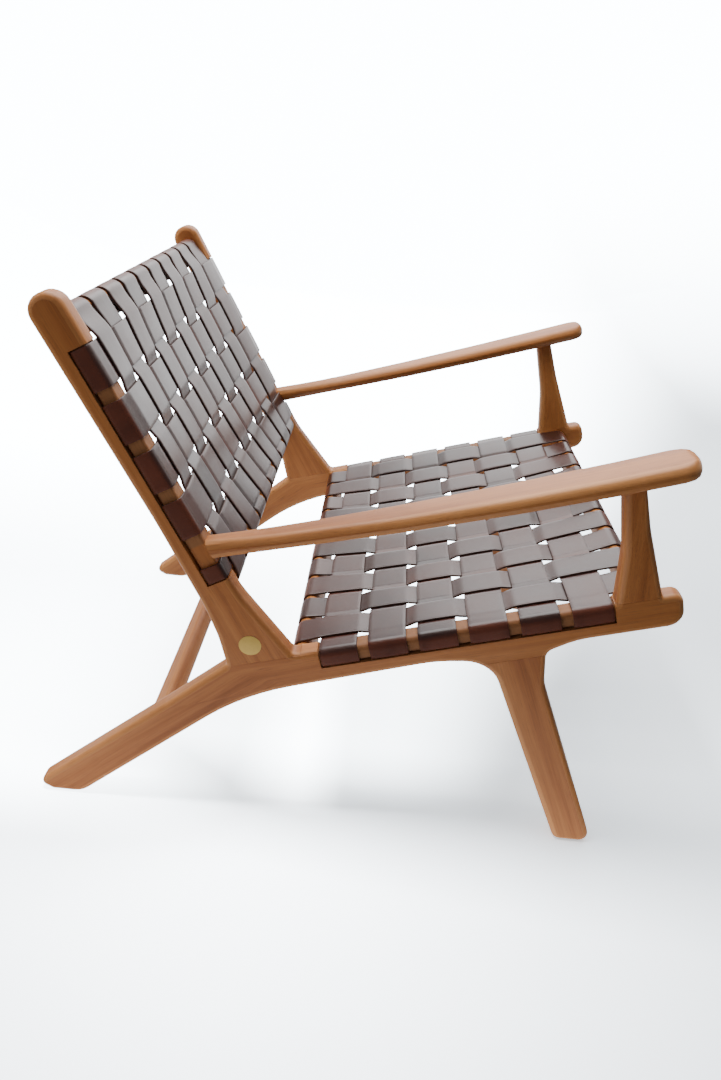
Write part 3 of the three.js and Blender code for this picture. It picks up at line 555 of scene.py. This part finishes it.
def make_wood():
    """All boards, bars and dowels. Each board and bar has a seed of its own."""
    for seed, side in enumerate(("left", "right")):
        grains = {
            "seat_rail": bent_grain(-seat.along, REAR_LEG, LEG_BEND, 1 + seed),
            "back_post": straight_grain(back.along, back.origin, 4 + seed),
            "front_leg": straight_grain(FRONT_LEG, LEG_ROOT, 7 + seed),
            "arm_post": straight_grain(ARM_POST, ARM_POST_FOOT, 10 + seed),
            "armrest": straight_grain(ARM, ARM_REAR, 13 + seed),
        }
        for part, grain in grains.items():
            node = f"{part}_{side}"
            finish_wood(smooth_copy(node), node, grain)
        for dowel in DOWELS:
            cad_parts[f"{dowel}_{side}"].material_slots[0].material = beech
    for seed, node in enumerate(BARS):
        finish_wood(smooth_copy(node), node, bar_grain(16 + seed))


# Leather straps

def smooth_step(share):
    """A share from 0 to 1, eased at both ends."""
    share = min(1, max(0, share))
    return share * share * (3 - 2 * share)


def strap_section():
    """Points round a strap as (place across it from -1 to 1, height, share of cut edge)."""
    half = STRAP_WIDTH / 2
    top = STRAP_THICKNESS / 2
    inner = 1 - STRAP_EDGE / half
    soft = 1 - EDGE_SHARE * STRAP_EDGE / half
    places = (-inner, -0.8, -0.4, 0, 0.4, 0.8, inner)
    upper = [(across, top - STRAP_CROWN * across ** 2, 0) for across in places]
    lower = [(-across, -top - STRAP_CROWN * across ** 2, 0) for across in places]
    right = [
        (soft, top - (STRAP_CROWN + EDGE_SHARE * STRAP_EDGE), 0),
        (1, top - STRAP_CROWN - STRAP_EDGE, 1),
        (1, STRAP_EDGE - top - STRAP_CROWN, 1),
        (soft, EDGE_SHARE * STRAP_EDGE - top - STRAP_CROWN, 0),
    ]
    left = [(-across, height, raw) for across, height, raw in reversed(right)]
    return upper + right + lower + left


SECTION = strap_section()
MIDDLE_POINT = 3            # place of the strap's middle in its section
TINT_STEP = 0.618           # between the tints of two straps, counted round from 0 to 1


def weave_height(place, crossings, ends, bow):
    """Height of a strap over the middle of the weave: bowed at each crossing, sloping between them."""
    half = STRAP_WIDTH / 2
    knots = [(middle - half, middle + half, sign * WEAVE_HEIGHT) for middle, sign in crossings]
    knots = [(ends[0][0], *ends[0])] + knots + [(ends[1][0], *ends[1])]
    for (_, leave, first), (reach, after, second) in zip(knots, knots[1:]):
        if place <= reach:
            share = min(1, max(0, (place - leave) / (reach - leave)))
            return first + (second - first) * (share + smooth_step(share)) / 2
        if place < after:
            rise = math.cos(math.pi * (place - (reach + after) / 2) / STRAP_WIDTH)
            return second + math.copysign(bow * rise, second)
    return ends[1][1]


def arc(middle, radius, start, end):
    """Points round an arc as (along, out): 0 degrees looks out, 90 along."""
    steps = max(2, math.ceil(math.radians(abs(end - start)) * radius / STEP * ARC_STEPS))
    angles = [math.radians(start + (end - start) * step / steps) for step in range(steps + 1)]
    along, out = middle
    return [(along + radius * math.sin(angle), out + radius * math.cos(angle)) for angle in angles]


def spread(start, end):
    """Places from start to end, both left out, about a step apart."""
    steps = round((end - start) / STEP)
    return [start + (end - start) * step / steps for step in range(1, steps)]


def strap_piece(name, rows, seed):
    """A closed strap through rows of points. A row is (points across the strap, the way its face looks)."""
    vertices, lay, edges, pulled = [], [], [], []
    travelled = 0
    flat_face = rows[len(rows) // 2][1]
    for index, (points, face) in enumerate(rows):
        if index:
            travelled += (points[MIDDLE_POINT] - rows[index - 1][0][MIDDLE_POINT]).length
        at_tip = index in (0, len(rows) - 1)
        for point, (across, height, cut) in zip(points, SECTION):
            vertices.append(point + face * (height * MM))
            lay.append(Vector((travelled, across * STRAP_WIDTH / 2 * MM, 0)) + seed_shift(seed))
            edges.append(1.0 if at_tip else float(cut))
            # How far this row's face turns from the strap's flat face: the share of pull-up colour and
            # painted light.
            pulled.append(smooth_step(2 - 2 * face.dot(flat_face)))
    size = len(SECTION)
    faces = [tuple(range(size)), tuple(reversed(range(len(vertices) - size, len(vertices))))]
    for ring in range(len(rows) - 1):
        for side in range(size):
            a = ring * size + side
            b = ring * size + (side + 1) % size
            faces.append((a, a + size, b + size, b))
    mesh = bpy.data.meshes.new(name)
    mesh.from_pydata(vertices, [], faces)
    piece = bpy.data.objects.new(f"{name}_leather", mesh)
    bpy.context.scene.collection.objects.link(piece)
    only(piece)
    bpy.ops.object.mode_set(mode="EDIT")
    bpy.ops.mesh.select_all(action="SELECT")
    bpy.ops.mesh.normals_make_consistent(inside=False)
    bpy.ops.object.mode_set(mode="OBJECT")
    bpy.ops.object.shade_smooth_by_angle(angle=LEATHER_EDGE)
    write_vectors(piece, "lay", lay)
    write_numbers(piece, "edge", edges)
    write_numbers(piece, "pulled", pulled)
    write_numbers(piece, "tint", [seed * TINT_STEP % 1] * len(vertices))
    dress(piece, leather, name)


def length_middle(index):
    """Where the middle of a length strap lies on X."""
    return (index + 0.5) * LENGTH_PITCH - HALF_INNER


def clear_of_bars(panel, along, out):
    """Lifts a point of a strap's middle line out of the bars that it wraps."""
    for bar, level in panel.bars:
        away = abs(along - bar)
        if away < FOLD_RADIUS * FOLD_SHARE:
            out = max(out, level + math.sqrt(FOLD_RADIUS ** 2 - away ** 2))
    return out


def path_faces(path):
    """The way a strap's face looks at each point of a path of (along, out) pairs."""
    faces = []
    for index in range(len(path)):
        first = path[max(0, index - 1)]
        last = path[min(len(path) - 1, index + 1)]
        along, out = last[0] - first[0], last[1] - first[1]
        length = math.hypot(along, out)
        faces.append((-out / length, along / length))
    return faces


def length_strap(panel, index, name, tails, seed):
    """A strap along a panel: round the bar at each end, and over and under the cross straps between."""
    x = length_middle(index)
    crossings = [(row, 1 if (index + number) % 2 == 0 else -1) for number, row in enumerate(panel.rows)]
    ends = [(along, level - FOLD_LEVEL) for along, level in panel.bars]
    woven = spread(ends[0][0], ends[1][0])

    def level_at(place, along):
        height = weave_height(along, crossings, ends, panel.bow)
        return clear_of_bars(panel, along, WEAVE_LEVEL + height - panel.hollow(place, along))

    start, end = tails
    path = start + [(along, level_at(x, along)) for along in woven] + end
    rows = []
    for step, ((along, out), (face_along, face_out)) in enumerate(zip(path, path_faces(path))):
        in_weave = len(start) <= step < len(start) + len(woven)
        places = [x + across * STRAP_WIDTH / 2 for across, _, _ in SECTION]
        levels = [level_at(place, along) if in_weave else out for place in places]
        points = [panel.plane.at(place, along, level) for place, level in zip(places, levels)]
        rows.append((points, panel.plane.along * face_along + panel.plane.out * face_out))
    strap_piece(name, rows, seed)


def seat_tails():
    """Both ends of a seat strap as (along, out) pairs: round a seat bar and back under it."""
    inset = BAR / 2 - SEAT_BAR_EDGE
    level = -REBATE - SEAT_BAR_DEPTH + SEAT_BAR_EDGE
    edge = SEAT_BAR_EDGE + WRAP
    under = level - edge
    start = [(REAR_BAR + inset, under), (REAR_BAR, under)]
    start += arc((REAR_BAR - inset, level), edge, -180, -90)
    start += arc((REAR_BAR, FOLD_LEVEL), FOLD_RADIUS, -90, 0)
    end = arc((FRONT_BAR, FOLD_LEVEL), FOLD_RADIUS, 0, 90)
    end += arc((FRONT_BAR + inset, level), edge, 90, 180)
    end += [(FRONT_BAR, under), (FRONT_BAR - inset, under)]
    return start, end


def back_tails():
    """Both ends of a back strap as (along, out) pairs: round a bar, and at the top back to the strap."""
    start = [(BOTTOM_BAR + BACK_STRAP_TAIL, FOLD_LEVEL - FOLD_RADIUS)]
    start += arc((BOTTOM_BAR, FOLD_LEVEL), FOLD_RADIUS, -180, 0)
    top_level = FOLD_LEVEL - TOP_BAR_SETBACK
    along = TOP_TAIL_END[0] - TOP_BAR
    out = TOP_TAIL_END[1] - top_level
    leaving = math.atan2(along, out) + math.tau - math.acos(FOLD_RADIUS / math.hypot(along, out))
    end = arc((TOP_BAR, top_level), FOLD_RADIUS, 0, math.degrees(leaving)) + [TOP_TAIL_END]
    return start, end


def strap_end(groove, bend):
    """A cross strap's end as (x, out) pairs, over the frame's edge and into its groove."""
    edge = arc((OUTER_FACE - REBATE - bend, -REBATE - bend), bend + WRAP, 0, 90)
    turn = arc((OUTER_FACE - REBATE, GROOVE_HEIGHT / 2 - groove), WRAP, 90, 180)
    run = turn[0][1] - edge[-1][1]
    down = [(edge[-1][0], edge[-1][1] + run * share) for share in (0.33, 0.67)]
    tip = (OUTER_FACE - GROOVE_DEPTH + 2 * FIT, turn[-1][1])
    return edge + down + turn + [tip]


def along_cut(row, across, width):
    """A place across a cross strap whose upper edge is cut back to a width."""
    return row - STRAP_WIDTH / 2 + (across + 1) / 2 * width


def cross_strap(panel, number, name, groove, bend, seed, end_width=STRAP_WIDTH):
    """A strap across a panel, over the frames at both sides and down into their grooves."""
    row = panel.rows[number]
    crossings = [(length_middle(index), -1 if (index + number) % 2 == 0 else 1)
                 for index in range(LENGTH_STRAPS)]
    bend_start = OUTER_FACE - REBATE - bend
    outer_signs = crossings[0][1], crossings[-1][1]
    late, early = bend_start - LATE_LANDING, HALF_INNER + LANDING
    landings = [late if sign > 0 else early for sign in outer_signs]
    ends = [(-landings[0], 0), (landings[1], 0)]
    alongs = [along_cut(row, across, end_width) for across, _, _ in SECTION]
    profiles = [strap_end(groove(along), bend) for along in alongs]

    def woven_points(x):
        narrowing = smooth_step((abs(x) - HALF_INNER - LANDING) / NOTCH_RUN)
        width = STRAP_WIDTH + (end_width - STRAP_WIDTH) * narrowing
        level = WEAVE_LEVEL + weave_height(x, crossings, ends, panel.bow)
        points = []
        for across, _, _ in SECTION:
            along = along_cut(row, across, width)
            points.append(panel.plane.at(x, along, level - panel.hollow(x, along)))
        return points

    def end_points(side):
        return [[panel.plane.at(side * x, along, out) for along, (x, out) in zip(alongs, step)]
                for step in zip(*profiles)]

    woven = [woven_points(x) for x in spread(-bend_start, bend_start)]
    stations = end_points(-1)[::-1] + woven + end_points(1)
    upright = 1 if panel.plane is back else -1
    rows = []
    for step, points in enumerate(stations):
        first = stations[max(0, step - 1)][MIDDLE_POINT]
        last = stations[min(len(stations) - 1, step + 1)][MIDDLE_POINT]
        rows.append((points, (last - first).cross(panel.plane.along).normalized() * upright))
    strap_piece(name, rows, seed)


def post_groove(along):
    """How far behind a post's front its groove lies, less towards the top."""
    top = back_panel.rows[-1] + STRAP_WIDTH / 2
    share = (along - LOWEST_ROW) / (top - LOWEST_ROW)
    return POST_GROOVE_LOW + (POST_GROOVE_HIGH - POST_GROOVE_LOW) * share


def rail_groove(along):
    """How far under a rail's top its groove lies, the same all along."""
    return RAIL_GROOVE


# Seeds of the first strap of each kind
SEAT_SEED = 1
BACK_SEED = 12
SEAT_CROSS_SEED = 24
BACK_CROSS_SEED = 31


def make_straps():
    """All straps of the seat and the back, which lie on the bars, the rails and the posts."""
    for index in range(LENGTH_STRAPS):
        length_strap(seat_panel, index, f"seat_strap_{index + 1}", seat_tails(),
                     SEAT_SEED + index)
        length_strap(back_panel, index, f"back_strap_{index + 1}", back_tails(),
                     BACK_SEED + index)
    for number in range(SEAT_CROSS_STRAPS):
        cross_strap(seat_panel, number, f"seat_cross_strap_{number + 1}", rail_groove, RAIL_BEND,
                    SEAT_CROSS_SEED + number)
    for number in range(BACK_CROSS_STRAPS):
        cross_strap(back_panel, number, f"back_cross_strap_{number + 1}", post_groove, POST_BEND,
                    BACK_CROSS_SEED + number, NOTCHED_END if number == 0 else STRAP_WIDTH)


# Small trim

# Sizes of the disc, its place from the post's dowel as (y, z), and its rim, in metres
DISC_SIDES = 64
DISC_RADIUS = 0.015
DISC_THICKNESS = 0.0008
DISC_PLACE = (0.0122, 0.0239)
DISC_STANDS_OUT = 0.35      # its middle from the post's face, in millimetres
RIM_WIDTH = 0.0012
RIM_STEP = 0.0005
FIELD_DEPTH = 0.0003
RIM_BEVEL = 0.0002


def make_disc():
    """A plain brass disc on the outer face of the right back post."""
    dowel = box_middle("post_dowel_right")
    y, z = DISC_PLACE
    middle = Vector((-(OUTER_FACE + DISC_STANDS_OUT) * MM, dowel.y + y, dowel.z + z))
    bpy.ops.object.select_all(action="DESELECT")
    bpy.ops.mesh.primitive_cylinder_add(vertices=DISC_SIDES, radius=DISC_RADIUS, depth=DISC_THICKNESS,
                                        location=middle, rotation=(0, math.pi / 2, 0))
    disc = bpy.context.active_object
    disc.name = "brass_disc"
    bpy.ops.object.transform_apply(location=True, rotation=True, scale=True)
    for face in disc.data.polygons:
        face.select = face.normal.x < -0.9
    bpy.ops.object.mode_set(mode="EDIT")
    bpy.ops.mesh.select_mode(type="FACE")
    bpy.ops.mesh.inset(thickness=RIM_WIDTH, depth=0)
    bpy.ops.mesh.inset(thickness=RIM_STEP, depth=-FIELD_DEPTH)
    bpy.ops.object.mode_set(mode="OBJECT")
    bevel = disc.modifiers.new("soft_rim", "BEVEL")
    bevel.width = RIM_BEVEL
    bevel.segments = 2
    bpy.ops.object.modifier_apply(modifier=bevel.name)
    bpy.ops.object.shade_smooth_by_angle(angle=DISC_EDGE)
    dress(disc, brass)


# Studio

# The sweep of paper, in metres
FLOOR_RADIUS = 3
FLOOR_BEND = 1.2
WALL_TOP = 5
BEND_STEPS = 15
ROUND_STEPS = 96


def make_stage():
    """A round sweep of white paper: a floor that curves up into a wall."""
    points = [(0, 0, 0), (1, 0, 0), (2, 0, 0)]
    for step in range(BEND_STEPS + 1):
        angle = math.radians(90 * step / BEND_STEPS)
        reach = FLOOR_RADIUS + FLOOR_BEND * math.sin(angle)
        points.append((reach, 0, FLOOR_BEND - FLOOR_BEND * math.cos(angle)))
    points.append((FLOOR_RADIUS + FLOOR_BEND, 0, WALL_TOP))
    mesh = bpy.data.meshes.new("studio_sweep")
    mesh.from_pydata(points, [(index, index + 1) for index in range(len(points) - 1)], [])
    sweep = bpy.data.objects.new("studio_sweep", mesh)
    bpy.context.scene.collection.objects.link(sweep)
    only(sweep)
    spin = sweep.modifiers.new("spin", "SCREW")
    spin.angle = math.tau
    spin.steps = spin.render_steps = ROUND_STEPS
    spin.use_merge_vertices = True
    bpy.ops.object.modifier_apply(modifier=spin.name)
    bpy.ops.object.shade_smooth()
    sweep.data.materials.append(paper)
    # The sweep's painted glow is for the camera alone: it lights nothing and shows in no reflection.
    sweep.visible_diffuse = False
    sweep.visible_glossy = False
    return sweep


def add_light(name, place, target, size, power, gloss=True, diffuse=True, beam=math.pi, lit=None):
    """A soft light that the camera doesn't see. It may leave out gloss or colour, or light one piece."""
    bpy.ops.object.light_add(type="AREA", location=place)
    lamp = bpy.context.active_object
    lamp.name = name
    lamp.data.shape = "RECTANGLE"
    lamp.data.size, lamp.data.size_y = size
    lamp.data.energy = power
    lamp.data.spread = beam
    lamp.rotation_euler = (Vector(target) - Vector(place)).to_track_quat("-Z", "Y").to_euler()
    lamp.visible_camera = False
    lamp.visible_glossy = gloss
    lamp.visible_diffuse = diffuse
    if lit:
        receivers = bpy.data.collections.new(f"{name}_receivers")
        receivers.objects.link(lit)
        lamp.light_linking.receiver_collection = receivers


CAMERA_PITCH = math.radians(27.226)
CAMERA_ROLL = math.radians(5.686)
CAMERA_PLACE = (-1.1911, seat.origin.y - 0.040, 0.8994)
SENSOR_WIDTH = 36
LENS = 26.99


def make_camera():
    """The camera of the photograph, which looks along +X and down."""
    forward = Vector((math.cos(CAMERA_PITCH), 0, -math.sin(CAMERA_PITCH)))
    right = Vector((0, -1, 0))
    up = right.cross(forward)
    turned_right = right * math.cos(CAMERA_ROLL) + up * math.sin(CAMERA_ROLL)
    turned_up = up * math.cos(CAMERA_ROLL) - right * math.sin(CAMERA_ROLL)
    turn = Matrix((turned_right, turned_up, -forward)).transposed()
    camera = bpy.data.objects.new("camera", bpy.data.cameras.new("camera"))
    bpy.context.scene.collection.objects.link(camera)
    camera.matrix_world = Matrix.Translation(CAMERA_PLACE) @ turn.to_4x4()
    camera.data.sensor_width = SENSOR_WIDTH
    camera.data.lens = LENS
    camera.data.clip_start = 0.02
    bpy.context.scene.camera = camera


def make_lights(stage):
    """A dim world and soft lights. The cards are for gloss alone, and the fills leave it out."""
    world = bpy.data.worlds.new("studio")
    world.use_nodes = True
    background = world.node_tree.nodes["Background"]
    background.inputs["Color"].default_value = (0.93, 0.96, 1, 1)
    background.inputs["Strength"].default_value = 0.15
    bpy.context.scene.world = world
    add_light("overhead", (0.6, 0.1, 2.5), (0.1, 0, 0.2), (2.4, 2.6), 118)
    add_light("far_softbox", (3.4, -0.42, 1.6), (0, -0.42, 1.6), (2.2, 2.8), 54)
    add_light("high_card", (3.3, 0.4, 2.45), (0, 0.4, 2.45), (1.8, 1.1), 9, diffuse=False)
    add_light("left_card", (3.4, 1.55, 1.5), (0, 1.55, 1.5), (1.6, 1.8), 10, diffuse=False)
    add_light("right_card", (1.6, -3, 1.3), (0, 0, 0.5), (3, 2.4), 28, diffuse=False)
    add_light("far_fill", (3.3, 1, 1.3), (0, 1, 1.3), (4.6, 2.5), 100, gloss=False)
    add_light("floor_bounce", (1.6, 0.8, 0.002), (1.6, 0.8, 1), (3.6, 3), 36)
    add_light("far_floor", (2.5, -0.3, 0.002), (2.5, -0.3, 1), (1.8, 1.6), 14)
    add_light("near_bounce", (-0.52, 0.3, 0.002), (-0.52, 0.3, 1), (0.45, 1.5), 5.2, gloss=False)
    add_light("near_fill", (-1.3, 1.3, 1.0), (-0.3, 0.2, 0.2), (1, 1), 4, gloss=False)
    add_light("rear_fill", (0.3, 2.6, 1.6), (0, 0.3, 0.3), (1.2, 1.2), 62, gloss=False)
    add_light("floor_key", (-0.3, 0.25, 1.2), (-0.32, 0.1, 0), (0.25, 0.25), 23, beam=math.radians(80),
              lit=stage)


make_camera()
make_wood()
make_straps()
make_disc()
make_lights(make_stage())
